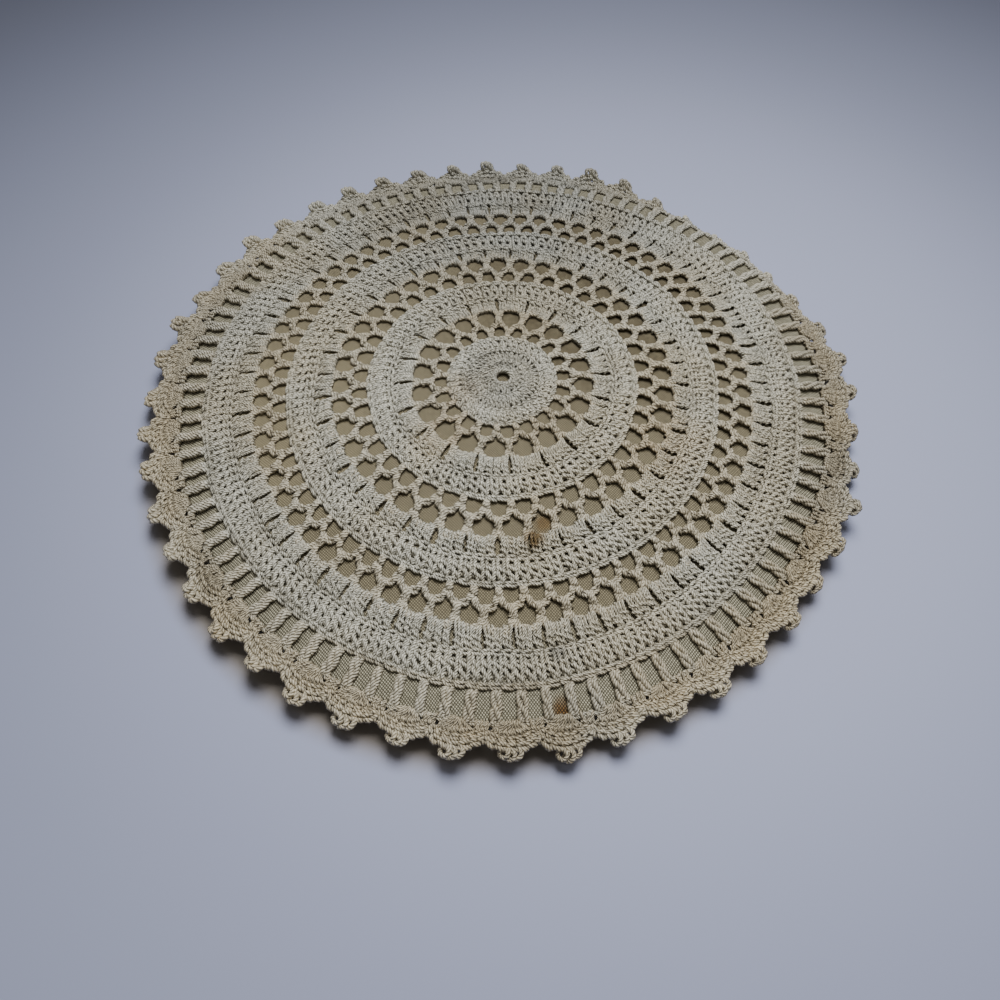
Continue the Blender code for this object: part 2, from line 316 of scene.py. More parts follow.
# The cover as three zones of one cloth.
POST_WIDTHS = (0.82, 1.28)  # shares between which one post's width strays
POST_LARGEST_CORD = 1.12 * CORD_RADIUS
POST_CORD_SHARE = 0.26  # of the pitch
POST_SPAN_SHARE = 0.52
POST_LEAST_SHARE = 0.31
POST_SIDE_GAIN = 0.12  # the dense rounds' stitches are stouter on the left and right
TOP_SINK = -0.0002  # their V-shaped tops lie this much off the middle layer
FAR_RIDGE = 0.0007  # and stand up more towards the far right
FAR_RIDGE_ANGLE = 60.0
UNDER_RISE = -0.0009  # the cords carried along under the dense rounds,
UNDER_SIDE_RISE = 0.0006  # higher on the left and right
UNDER_SIDE_FROM = (0.02, 0.05)  # outside these radii
UNDER_PITCH = 0.0024
UNDER_RADIUS = 0.0011
UNDER_SPACING = 0.0024

# The wound ring that the first round is worked over.
RING_RADIUS = 0.0042
RING_WRAPS = 20
RING_WRAP_OUT = 0.001
RING_WRAP_UP = 0.0012
RING_JITTER = 0.00005

ARCH_LINKS = 6  # of a net's arch
ARCH_LEG = 0.00085  # the unit of its steps aside
KNOT_HEIGHT = 0.0022  # where two arches meet
KNOT_ASIDE = 0.0006
KNOT_HALF_WIDTH = 0.0005

GROUP_FOOT_FALL = 0.0018  # a group's outer stitches start this much further in
GROUP_FOOT_SPREAD = 0.94  # shares of the arch's width
GROUP_HEAD_SPREAD = 1.05
GROUP_HALF_WIDTH = 0.3  # share of the stitches' pitch
GROUP_BOW = 0.0009  # the outer stitches of a group bend in to its middle
GROUP_TOP_WIDER = 0.00015
GROUP_TOP_LEAN = 0.4

TALL_STITCHES = 2 * SCALLOPS
TALL_FOOT = 0.1358
TALL_HEAD = 0.1482
TALL_HALF_WIDTH = 0.00112
TALL_CORD_RADIUS = 0.0011
TALL_TURNS = 0.7  # of the three cords, from foot to head
TALL_TWIST_RISE = 0.0004
TALL_RISE = 0.0003
TALL_END_RISE = -0.0006  # where they dive at both ends
TALL_STEPS = 8
TALL_SIDE_GAIN = 0.2  # they are wider on the left
TALL_CORD_GAIN = 0.8 * TALL_SIDE_GAIN  # and of stouter cord

# The scallops: a fan of stitches, a closed chain over the fans and another with the picots.
FAN_STITCHES = 9
FAN_FOOT_SPREAD = 1.3  # degrees from the fan's middle to its outer foot
FAN_HEAD = 0.1574
FAN_HEAD_FALL = 0.0034  # the outer heads lie this much further in
FAN_HEAD_SPREAD = 0.88
FAN_HALF_WIDTH = 0.00075
VALLEY_PLACES = (-0.75, 0.0, 0.75)  # degrees, of the three stitches between two fans
VALLEY_HEAD = 0.154
VALLEY_HEAD_SPREAD = 0.5
VALLEY_HALF_WIDTH = 0.0007
TOPS_RISE = 0.0004
TOPS_HALF_WIDTH = 0.00105
TOPS_CORD = 0.00092
ROPE_RISE = 0.0006
ROPE_HALF_WIDTH = 0.00115
ROPE_CORD = 0.001
TIP_HALF_WIDTH = 0.75  # share of the scallop over which its tip rises
TOPS_TIP = 0.6  # share of that rise in the inner chain

# A picot is a knot of three lobes.
PICOT_BASE = 0.16  # they start here
PICOT_REACH = 0.0034  # their middles lie this far out
PICOT_LOBE = 0.0015  # half their length
PICOT_LOBE_WIDTH = 0.0017  # half their width
PICOT_LOBES = ((-1, 1.0), (0, 0.92), (1, 1.0))  # side, share of the full reach
PICOT_SWING = 46.0  # the outer two swing out this far
PICOT_POINTS = 9
PICOT_LIFT = 0.0006
PICOT_ROLL = 0.0012  # a lobe's one side lies higher
PICOT_STAND = 0.0006  # the far picots stand up this far
PICOT_LENGTH = 0.0044  # over this length
PICOT_CORD = 0.00098
PICOT_SPACING = 0.001
PICOT_SIDE_SQUEEZE = 0.25  # they are narrower on the right and far side
PICOT_LEFT_GAIN = 0.1  # larger and of stouter cord on the left
PICOT_LEFT_CORD = 0.0004
PICOT_FOLD = 44.0  # and folded under about this direction
PICOT_FOLD_SPREAD = 11.0
PICOT_FOLD_SHRINK = 0.6

# ---- the view and the light ----
FLOOR_HALF = 3.0
# Where the floor's painted pool of light fades out, and where its painted shadow under the rim ends.
FLOOR_FADE_MIDDLE = (0.05, 0.02, 0.0)
FLOOR_FADE = (0.16, 0.3)
SHADE_MIDDLE = (-0.004, -0.006, 0.0)
SHADE_EDGE = (0.154, 0.166)
SKY_COLOUR = (1.0, 0.96, 0.9, 1.0)
SKY_STRENGTH = 0.15
LAMP_PLACE = (0.12, 0.31, 0.8)
LAMP_TARGET = (0.03, -0.17, 0.0)
LAMP_ENERGY = 2.1
LAMP_SIZE = 0.5
LAMP_SPREAD = 76.0
CAMERA_PLACE = (-0.0018, -0.216, 0.2789 + CROWN_HEIGHT)
CAMERA_PITCH = 28.72
CAMERA_ROLL = -0.15
CAMERA_LENS = 27.97


def nearness(angle, direction, spread):
    """1 in a direction, falling to 0 on either side of it."""
    off = (angle - direction + 180.0) % 360.0 - 180.0
    return np.exp(-(off / spread) ** 2)


def lobe(radius, angle):
    """How far the three soft lobes of the outline reach out."""
    return LOBE_REACH * (radius / PICOT_RADIUS) ** 3 * np.cos(np.radians(3.0 * (angle - LOBE_ANGLE)))


def crown(radius, angle):
    """Height of the crochet's upper face."""
    past = np.maximum(0.0, radius - ROLL_START)
    lift = sum(height * nearness(angle, direction, spread) for direction, spread, height in RIM_LIFTS)
    height = CROWN_HEIGHT - CROWN_FALL * radius ** 2 - ROLL_FALL * past ** 2
    return height + lift * (past / (PICOT_RADIUS - ROLL_START)) ** 2


def smooth_step(value, start, end):
    t = np.clip((value - start) / (end - start), 0.0, 1.0)
    return t * t * (3.0 - 2.0 * t)


def rim_form(radius, angle):
    """How much further up and further out the rim lies than the even crown."""
    up, out = 0.0, 0.0
    for direction, spread, start, full, higher, further in RIM_FORM:
        share = nearness(angle, direction, spread) * smooth_step(radius, start, full)
        up, out = up + higher * share, out + further * share
    return up, out


def surface(radius, angle):
    """Height of the crochet's middle layer where it lies at this radius."""
    _, out = rim_form(radius, angle)
    up, out = rim_form(radius - out, angle)
    return crown(radius - out, angle) + up - COVER_THICKNESS / 2


def lay(flat):
    """Flat round work, (..., xyz), laid on the crown with its skew, drift and lobes.

    The sums of sines are slow uneven waves: over the flat work at first, then round the rim.
    """
    x, y = flat[..., 0], flat[..., 1]
    flat = flat + WAVER * np.stack([
        np.sin(170.0 * y + 1.1) * np.sin(140.0 * x + 0.4),
        np.sin(160.0 * x + 2.3) * np.sin(150.0 * y + 1.7),
        0.6 * np.sin(110.0 * x - 130.0 * y),
    ], axis=-1)
    x, y = flat[..., 0], flat[..., 1]
    flat_radius = np.hypot(x, y)
    drift = DRIFT * smooth_step(flat_radius, *DRIFT_FROM)
    drift = drift * (1.0 - smooth_step(flat_radius, *DRIFT_TO))
    x = x + drift * math.cos(math.radians(DRIFT_ANGLE))
    y = y + drift * math.sin(math.radians(DRIFT_ANGLE))
    radius = np.hypot(x, y)
    angle = np.degrees(np.arctan2(y, x))
    angle = angle - SKEW * np.cos(np.radians(angle - SKEW_ANGLE))
    tuck = TUCK * nearness(angle, TUCK_ANGLE, TUCK_SPREAD)
    radius = radius - tuck * (np.clip(radius, TUCK_START, TUCK_END) - TUCK_START)
    height = crown(radius, angle) - COVER_THICKNESS / 2 + flat[..., 2]
    turn = np.radians(angle)
    flare = np.clip((radius - RUFFLE_START) / (PICOT_RADIUS - RUFFLE_START), 0.0, 1.2)
    height = height + RUFFLE * flare * (np.sin(11 * turn + 0.7) + 0.7 * np.sin(17 * turn + 2.1))
    up, out = rim_form(radius, angle)
    up = up + CURL * smooth_step(radius, *CURL_FROM) * (1.0 + 0.4 * np.sin(15 * turn + 2.0))
    height = np.maximum(LOWEST_CORD, height + up)
    reach = lobe(radius, angle) + out
    reach = radius + (reach + 0.6 * RUFFLE * flare * (np.sin(13 * turn + 1.0) + np.sin(19 * turn + 3.0)))
    turn = turn + 0.004 * flare * np.sin(16 * turn + 0.5)
    return np.stack([reach * np.cos(turn), reach * np.sin(turn), height], axis=-1)


# ---- cord as mesh ----
def fine_curve(points, closed, steps=6):
    """Smooth curves through (strand, point, xyz) control points."""
    if closed:
        before, start, end, after = (np.roll(points, shift, axis=1) for shift in (1, 0, -1, -2))
    else:
        first = 2 * points[:, :1] - points[:, 1:2]
        last = 2 * points[:, -1:] - points[:, -2:-1]
        padded = np.concatenate([first, points, last], axis=1)
        before, start, end, after = padded[:, :-3], padded[:, 1:-2], padded[:, 2:-1], padded[:, 3:]
    before, start, end, after = (part[:, :, None] for part in (before, start, end, after))
    t = (np.arange(steps) / steps)[None, None, :, None]
    curve = 0.5 * (2 * start + (end - before) * t + (2 * before - 5 * start + 4 * end - after) * t ** 2
                   + (3 * start - before - 3 * end + after) * t ** 3)
    curve = curve.reshape(len(points), -1, points.shape[2])
    return curve if closed else np.concatenate([curve, points[:, -1:]], axis=1)


def evenly(curve, count, closed):
    """Each curve through `count` evenly spaced points, with its length."""
    if closed:
        curve = np.concatenate([curve, curve[:, :1]], axis=1)
    steps = np.linalg.norm(np.diff(curve, axis=1), axis=2)
    along = np.concatenate([np.zeros((len(curve), 1)), np.cumsum(steps, axis=1)], axis=1)
    result = []
    for line, reached in zip(curve, along):
        wanted = np.linspace(0.0, reached[-1], count, endpoint=not closed)
        result.append(np.stack([np.interp(wanted, reached, row) for row in line.T], axis=-1))
    return np.array(result), along[:, -1]


def unit(vectors):
    return vectors / np.maximum(np.linalg.norm(vectors, axis=-1, keepdims=True), 1e-12)


def square(vectors, ahead):
    """The vectors turned square to a direction."""
    return unit(vectors - (vectors * ahead).sum(-1, keepdims=True) * ahead)


def rings(line, closed, radius):
    """CORD_SIDES points round each point of each line: (strand, point, side, xyz)."""
    if closed:
        tangent = unit(np.roll(line, -1, axis=1) - np.roll(line, 1, axis=1))
    else:
        tangent = unit(np.gradient(line, axis=1))
    strands, count, _ = line.shape
    normal = np.empty_like(line)
    current = np.tile([0.03, 0.05, 1.0], (strands, 1))
    for index in range(count):
        current = square(current, tangent[:, index])
        normal[:, index] = current
    side = np.cross(tangent, normal)
    if closed:
        current = square(current, tangent[:, 0])
        short = np.arctan2((current * side[:, 0]).sum(-1), (current * normal[:, 0]).sum(-1))
        turn = -short[:, None] * np.arange(count)[None] / count
        cosine, sine = np.cos(turn)[..., None], np.sin(turn)[..., None]
        normal, side = normal * cosine + side * sine, side * cosine - normal * sine
    around = 2.0 * math.pi * np.arange(CORD_SIDES) / CORD_SIDES
    across = normal[:, :, None] * np.cos(around)[:, None] + side[:, :, None] * np.sin(around)[:, None]
    return line[:, :, None] + radius * across


def placed(name, data):
    """A new object in the scene."""
    made = bpy.data.objects.new(name, data)
    bpy.context.scene.collection.objects.link(made)
    return made


def fill(rows, name, numbers, kind=np.float32):
    """Writes one property of all of a mesh's rows."""
    rows.foreach_set(name, numbers.astype(kind).ravel())


class Skein:
    """The cord of one piece, gathered strand by strand."""

    def __init__(self, name):
        self.name = name
        self.points, self.corners, self.totals, self.uvs, self.depth_shades_and_tones = [], [], [], [], []
        self.count = 0
        self.rng = np.random.default_rng([SEED, len(name), *name.encode()])

    def add(self, controls, closed=False, radius=CORD_RADIUS, spacing=CORD_SPACING, jitter=JITTER):
        """Cords through flat control points, (strand, point, xyz)."""
        controls = np.asarray(controls, float)
        controls = controls + self.rng.normal(0.0, jitter, controls.shape)
        curve = fine_curve(lay(controls), closed)
        length = np.linalg.norm(np.diff(curve, axis=1), axis=2).sum(1).mean()
        count = max(4, round(length / spacing) + (0 if closed else 1))
        line, lengths = evenly(curve, count, closed)
        tube = rings(line, closed, radius)
        strands = len(tube)
        spans = count if closed else count - 1
        ids = self.count + np.arange(strands * count * CORD_SIDES).reshape(strands, count, CORD_SIDES)
        following = np.roll(ids, -1, axis=1)[:, :spans]
        here = ids[:, :spans]
        quads = np.stack([here, np.roll(here, -1, 2), np.roll(following, -1, 2), following], axis=-1)
        self.corners.append(quads.reshape(-1))
        self.totals.append(np.full(quads.size // 4, 4))
        lengths = lengths[:, None, None]
        v = (np.arange(spans) / spans)[:, None]
        u = np.arange(CORD_SIDES) / CORD_SIDES
        left, start, end = np.broadcast_arrays(u, v * lengths, (v + 1 / spans) * lengths)
        right = left + 1 / CORD_SIDES
        across = np.stack([left, right, right, left], -1)
        along = np.stack([start, start, end, end], -1) * 100
        self.uvs.append(np.stack([across, along], -1).reshape(-1, 2))
        if not closed:
            for cap in (ids[:, 0, ::-1], ids[:, -1]):
                self.corners.append(cap.reshape(-1))
                self.totals.append(np.full(strands, CORD_SIDES))
                self.uvs.append(np.zeros((cap.size, 2)))
        self.points.append(tube.reshape(-1, 3))
        # The tone: a random brightness for each cord, plus painted shade that darkens each point the deeper
        # it lies in the work.
        tone = self.rng.uniform(-TONE_SPREAD, TONE_SPREAD, strands)
        radii = np.hypot(tube[..., 0], tube[..., 1])
        middle = surface(radii, np.degrees(np.arctan2(tube[..., 1], tube[..., 0])))
        level = (tube[..., 2] - middle - LOWEST) / (HIGHEST - LOWEST)
        self.depth_shades_and_tones.append((level + tone[:, None, None]).reshape(-1))
        self.count += strands * count * CORD_SIDES

    def knit(self, material):
        """The gathered cord as one mesh object."""
        points, corners = np.concatenate(self.points), np.concatenate(self.corners)
        totals, uvs = np.concatenate(self.totals), np.concatenate(self.uvs)
        starts = np.concatenate([[0], np.cumsum(totals)[:-1]])
        near, far, start = WORN.get(self.name, (0.0, 0.0, 0.0))
        worn = near + (far - near) * smooth_step(points[:, 1], *WORN_FROM)
        worn = worn * (np.hypot(points[:, 0], points[:, 1]) >= start)
        mesh = bpy.data.meshes.new(self.name)
        mesh.vertices.add(len(points))
        fill(mesh.vertices, "co", points)
        mesh.loops.add(len(corners))
        fill(mesh.loops, "vertex_index", corners, np.int32)
        mesh.polygons.add(len(totals))
        fill(mesh.polygons, "loop_start", starts, np.int32)
        fill(mesh.polygons, "loop_total", totals, np.int32)
        fill(mesh.uv_layers.new(name="along_cord").data, "uv", uvs)
        for name, numbers in (("tone", np.concatenate(self.depth_shades_and_tones)), ("worn", worn)):
            fill(mesh.attributes.new(name, "FLOAT", "POINT").data, "value", numbers)
        mesh.update(calc_edges=True)
        mesh.validate()
        mesh.shade_smooth()
        mesh.materials.append(material)
        return placed(self.name, mesh)


# ---- stitches ----
def spot(radius, angle, rise=0.0):
    """A flat point of the round work."""
    radius, turn, rise = np.broadcast_arrays(radius, np.radians(angle), rise)
    return np.stack([radius * np.cos(turn), radius * np.sin(turn), rise], axis=-1).astype(float)


def sideways(vectors):
    """To the right of flat vectors, of unit length."""
    return unit(np.stack([vectors[..., 1], -vectors[..., 0], 0.0 * vectors[..., 0]], axis=-1))


def chain(skein, origins, closed=False, half_width=NET_HALF_WIDTH, back=True, cord=CORD_RADIUS):
    """Chains of V stitches whose links start at (chain, link, xyz) flat origins."""
    start = origins if closed else origins[:, :-1]
    step = (np.roll(origins, -1, axis=1) if closed else origins[:, 1:]) - start
    side = sideways(step)
    for hand in (-1.0, 1.0):
        legs = []
        for along, out, rise in LINK:
            legs.append(start + step * along + side * (hand * out * half_width) + [0.0, 0.0, rise])
        controls = np.stack(legs, axis=2).reshape(len(start), -1, 3)
        skein.add(controls, closed, cord)
    if back:
        skein.add(origins + [0.0, 0.0, BACK_DROP], closed, spacing=BACK_SPACING)


def posts(skein, feet, heads, table, half_width, cord, bow=0.0):
    """Stitches' posts between (stitch, xyz) flat feet and heads; `bow` bends them sideways."""
    feet = feet + skein.rng.normal(0.0, UNEVEN, feet.shape)
    heads = heads + skein.rng.normal(0.0, UNEVEN, heads.shape)
    half_width = half_width * skein.rng.uniform(*POST_WIDTHS, (len(feet), 1))
    run = heads - feet
    ahead = unit(run * [1.0, 1.0, 0.0])
    side = -sideways(run)
    foot_radius = np.linalg.norm(feet[:, :2], axis=1)[:, None]
    head_radius = np.linalg.norm(heads[:, :2], axis=1)[:, None]
    middle = (foot_radius + head_radius) / 2
    for strand in table:
        controls = []
        for across, share, rise, *further in strand:
            spread = (foot_radius + (head_radius - foot_radius) * share) / middle
            bent = bow * math.sin(math.pi * min(1.0, max(0.0, share)))
            point = feet + run * share + ahead * sum(further) + side * (across * half_width * spread + bent)
            controls.append(point + [0.0, 0.0, rise])
        skein.add(np.stack(controls, axis=1), radius=cord)


def fitted(pitch):
    """Cord radius and half width of a post that fills most of its pitch."""
    cord = min(POST_LARGEST_CORD, POST_CORD_SHARE * pitch)
    return cord, max(POST_SPAN_SHARE * pitch - cord, POST_LEAST_SHARE * pitch)


def dense_round(skein, stitches, foot, top):
    """A round of stitches with their V-shaped tops."""
    angles = 360.0 * np.arange(stitches) / stitches + skein.rng.normal(0.0, ROUND_WANDER, stitches)
    cord, half_width = fitted(math.radians(360.0 / stitches) * (foot + top) / 2)
    stout = 1.0 + POST_SIDE_GAIN * np.abs(np.cos(np.radians(angles)))
    posts(skein, spot(foot, angles), spot(top, angles), POST, half_width * stout[:, None], cord)
    round_about = np.arange(0.0, 360.0, 10.0)
    sideward = np.abs(np.cos(np.radians(round_about)))
    rise = UNDER_RISE + UNDER_SIDE_RISE * sideward * smooth_step(top, *UNDER_SIDE_FROM)
    layers = round((top - foot) / UNDER_PITCH)
    for layer in range(layers):
        radius = foot + (top - foot) * (layer + 0.6) / layers
        skein.add(spot(radius, round_about, rise)[None], True, UNDER_RADIUS, UNDER_SPACING)
    ridge = FAR_RIDGE * (0.5 + 0.5 * np.cos(np.radians(angles - FAR_RIDGE_ANGLE)))
    tops = spot(top, angles + 90.0 / stitches, TOP_SINK + ridge)
    chain(skein, tops[None], True, TOP_HALF_WIDTH, back=False)


def arches(skein, table, middles, half, start, climb, width, cord):
    """A row of chain arches about their middles, from a table of one arch's points."""
    points = []
    for share, height, beside in table:
        radius = start + climb * height
        points.append(spot(radius, middles + share * half + np.degrees(beside * ARCH_LEG / radius)))
    origins = evenly(fine_curve(np.stack(points, axis=1), False), ARCH_LINKS + 1, False)[0]
    chain(skein, origins, half_width=width, cord=cord)


def net(skein, count, first, edge, apex, arch, cord):
    """Two rows of chain arches."""
    half = 180.0 / count
    loops = first + 2 * half * np.arange(count)
    unlike = skein.rng.normal(0.0, ARCH_WANDER, count)
    rightness = np.maximum(0.0, np.cos(np.radians(loops - NET_RIGHT_ANGLE)))[:, None, None]
    widths = NET_HALF_WIDTHS * cord / NET_CORD_RADIUS * (1.0 + NET_RIGHT_GAIN * rightness)
    stout = cord * (1.0 + NET_RIGHT_GAIN * rightness[..., None])
    arches(skein, INNER_ARCH, loops, half, edge, apex - edge + unlike, widths, stout)
    arches(skein, OUTER_ARCH, loops + half, half, apex, arch - apex + unlike, widths, stout)
    for place in (-KNOT_ASIDE, KNOT_ASIDE):
        turn = loops + math.degrees(place / apex)
        posts(skein, spot(apex, turn), spot(apex + KNOT_HEIGHT, turn), KNOT, KNOT_HALF_WIDTH, cord)
    return loops + half


def group_ends(middles, places, half, spread, radius, fall=0.0):
    """The feet or heads of groups of stitches, the outer ones of a group further in."""
    ends = [spot(radius - fall * place ** 2, middles + place * half * spread) for place in places]
    return np.stack(ends, axis=1).reshape(-1, 3)


def groups(skein, middles, arch, stitches, top, half):
    """Stitches worked in groups round the arches, with the tops of the whole round."""
    places = (np.arange(stitches) + 0.5) / stitches * 2.0 - 1.0
    feet = group_ends(middles, places, half, GROUP_FOOT_SPREAD, arch, GROUP_FOOT_FALL)
    heads = group_ends(middles, places, half, GROUP_HEAD_SPREAD, top)
    pitch = math.radians(2 * half / stitches) * (arch + top) / 2
    bow = np.tile(-GROUP_BOW * places, len(middles))[:, None]
    posts(skein, feet, heads, WRAPPED_POST, GROUP_HALF_WIDTH * pitch, TIGHT_CORD_RADIUS, bow)
    lean = math.radians(GROUP_TOP_LEAN * half / stitches)
    cosine, sine = math.cos(lean), math.sin(lean)
    x, y, rise = heads.T
    turned = np.stack([x * cosine - y * sine, x * sine + y * cosine, rise], axis=-1)
    chain(skein, turned[None], True, TOP_HALF_WIDTH + GROUP_TOP_WIDER, back=False)


def tall_stitches(skein):
    """The separate tall stitches, three cords twisted, and the chain along their heads."""
    pitch = 360.0 / TALL_STITCHES
    angles = FIRST_SCALLOP + (np.arange(TALL_STITCHES) + 0.5) * pitch
    feet, heads = spot(TALL_FOOT, angles), spot(TALL_HEAD, angles)
    table = []
    for cord in range(3):
        strand = []
        for step in range(TALL_STEPS):
            share = step / (TALL_STEPS - 1)
            turn = 2 * math.pi * (cord / 3 - share * TALL_TURNS)
            rise = TALL_TWIST_RISE * math.sin(turn) + TALL_RISE
            if share in (0.0, 1.0):
                rise = TALL_END_RISE
            strand.append((math.cos(turn), share, rise))
        table.append(strand)
    sideward = np.maximum(0.0, -np.cos(np.radians(angles)))
    half_width = TALL_HALF_WIDTH * (1.0 + TALL_SIDE_GAIN * sideward)
    cord = TALL_CORD_RADIUS * (1.0 + TALL_CORD_GAIN * sideward)
    posts(skein, feet, heads, table, half_width[:, None], cord[:, None, None, None])
    bar = spot(TALL_HEAD, FIRST_SCALLOP + np.arange(4 * TALL_STITCHES) * pitch / 4)
    chain(skein, bar[None], True)


def around_scallops(centres, half, line, rise, tip):
    """One closed line round all the scallops from its (share, radius) points on one of them."""
    points = []
    for share, radius in line:
        higher = tip * max(0.0, 1.0 - abs(share) / TIP_HALF_WIDTH)
        points.append(spot(radius, centres + share * half, rise + higher))
    return np.stack(points, axis=1).reshape(1, -1, 3)


def fans(skein, centres, half):
    """A fan of stitches in every second gap, and three stitches in each valley between."""
    places = (np.arange(FAN_STITCHES) + 0.5) / FAN_STITCHES * 2.0 - 1.0
    feet = group_ends(centres, places, 1.0, FAN_FOOT_SPREAD, TALL_HEAD)
    heads = group_ends(centres, places, half, FAN_HEAD_SPREAD, FAN_HEAD, FAN_HEAD_FALL)
    posts(skein, feet, heads, FAN_POST, FAN_HALF_WIDTH, TIGHT_CORD_RADIUS)
    valleys = centres + half
    for place in VALLEY_PLACES:
        feet = spot(TALL_HEAD, valleys + place)
        heads = spot(VALLEY_HEAD, valleys + place * VALLEY_HEAD_SPREAD)
        posts(skein, feet, heads, FAN_POST, VALLEY_HALF_WIDTH, TIGHT_CORD_RADIUS)


def picot_knots(skein, centres, tip, folded):
    """A knot of three lobes on each scallop."""
    turn = np.radians(centres)
    petal = np.arange(PICOT_POINTS) / PICOT_POINTS * 2 * math.pi
    standing = PICOT_STAND / PICOT_LENGTH * np.maximum(0.0, np.sin(turn)) * (1.0 - folded)
    leftness = np.maximum(0.0, -np.cos(turn))
    squeeze = 1.0 - PICOT_SIDE_SQUEEZE * (1.0 - np.maximum(0.0, -np.sin(turn)) ** 2) * (1.0 - leftness)
    size = (1.0 + PICOT_LEFT_GAIN * leftness) * (1.0 - PICOT_FOLD_SHRINK * folded)
    cord = (PICOT_CORD + PICOT_LEFT_CORD * leftness)[:, None, None, None]
    for side, longest in PICOT_LOBES:
        swing = math.radians(PICOT_SWING) * side
        reach = longest * (PICOT_REACH + PICOT_LOBE * np.cos(petal))
        lifts = PICOT_LIFT + PICOT_ROLL * np.sin(petal + side)
        knot = []
        for out, wide, lift in zip(reach, PICOT_LOBE_WIDTH * np.sin(petal), lifts):
            radius = PICOT_BASE + size * (out * math.cos(swing) - wide * math.sin(swing))
            across = size * squeeze * (out * math.sin(swing) + wide * math.cos(swing))
            knot.append(spot(radius, centres + np.degrees(across / radius), tip + lift + standing * out))
        skein.add(np.stack(knot, axis=1), True, cord, PICOT_SPACING)


def scallops(shells, picots):
    """Fans, the two chains over them and the picots at their tips."""
    centres = FIRST_SCALLOP + np.arange(SCALLOPS) * SCALLOP_PITCH
    half = SCALLOP_PITCH / 2
    fans(shells, centres, half)
    folded = nearness(centres, PICOT_FOLD, PICOT_FOLD_SPREAD)
    tip = SCALLOP_TIP * np.maximum(0.0, np.sin(np.radians(centres))) * (1.0 - folded)
    tops = around_scallops(centres, half, SCALLOP_TOPS, TOPS_RISE, TOPS_TIP * tip)
    chain(shells, tops, True, TOPS_HALF_WIDTH, cord=TOPS_CORD)
    rope = around_scallops(centres, half, SCALLOP_ROPE, ROPE_RISE, tip)
    chain(picots, rope, True, ROPE_HALF_WIDTH, cord=ROPE_CORD)
    picot_knots(picots, centres, tip, folded)


def middle_ring(skein):
    """The wound ring that the first round is worked over."""
    skein.add(spot(RING_RADIUS, np.arange(0.0, 360.0, 15.0))[None], True, jitter=RING_JITTER)
    turns = np.arange(RING_WRAPS * 4)
    angle = turns * 360.0 / (RING_WRAPS * 4)
    swing = turns * math.pi / 2
    coil = spot(RING_RADIUS + RING_WRAP_OUT * np.cos(swing), angle, RING_WRAP_UP * np.sin(swing))
    skein.add(coil[None], True, jitter=RING_JITTER)


# ---- materials ----
class Look:
    """A material, built from nodes."""

    def __init__(self, name):
        self.material = bpy.data.materials.new(name)
        self.material.use_nodes = True
        self.tree = self.material.node_tree
        self.shader = self.tree.nodes["Principled BSDF"]

    def node(self, kind, settings, sockets, values):
        """A node with these settings, its sockets fed with numbers, colours or other outputs."""
        node = self.tree.nodes.new("ShaderNode" + kind)
        for name, setting in settings.items():
            setattr(node, name, setting)
        for socket, value in zip(sockets, values):
            if isinstance(value, bpy.types.NodeSocket):
                self.tree.links.new(value, node.inputs[socket])
            else:
                node.inputs[socket].default_value = value
        return node

    def place(self):
        return self.tree.nodes.new("ShaderNodeTexCoord").outputs["Object"]

    def attribute(self, name):
        return self.node("Attribute", {"attribute_name": name}, (), ()).outputs["Fac"]

    def parts(self, vector):
        """A vector's three numbers."""
        return self.node("SeparateXYZ", {}, (0,), (vector,)).outputs

    def math(self, operation, *values):
        return self.node("Math", {"operation": operation}, range(3), values).outputs[0]

    def mix(self, factor, first, second, blend="MIX"):
        settings = {"data_type": "RGBA", "blend_type": blend}
        return self.node("Mix", settings, (0, 6, 7), (factor, first, second)).outputs[2]

    def noise(self, scale, detail=2.0):
        """Noise over the object's own coordinates."""
        sockets = ("Vector", "Scale", "Detail")
        return self.node("TexNoise", {}, sockets, (self.place(), scale, detail)).outputs[0]

    def between(self, value, start, end, low=0.0, high=1.0, kind="LINEAR"):
        """From low to high while the value goes from start to end."""
        sockets = ("Value", "From Min", "From Max", "To Min", "To Max")
        values = (value, start, end, low, high)
        return self.node("MapRange", {"interpolation_type": kind}, sockets, values).outputs[0]

    def distance(self, place, point):
        return self.node("VectorMath", {"operation": "DISTANCE"}, (0, 1), (place, point)).outputs["Value"]

    def thread(self, value, pitch):
        """The round of a thread or a ply: 0 at its edges, 1 along its middle."""
        turn = self.math("MULTIPLY", value, math.pi / pitch)
        return self.math("ABSOLUTE", self.math("SINE", turn))

    def finish(self, colour, roughness, height=None, depth=0.0):
        """Feeds the shader with a colour and, if there is a height, with its bump."""
        self.tree.links.new(colour, self.shader.inputs["Base Color"])
        self.shader.inputs["Roughness"].default_value = roughness
        if height is not None:
            bump = self.node("Bump", {}, ("Distance", "Height"), (depth, height))
            self.tree.links.new(bump.outputs[0], self.shader.inputs["Normal"])
        return self.material


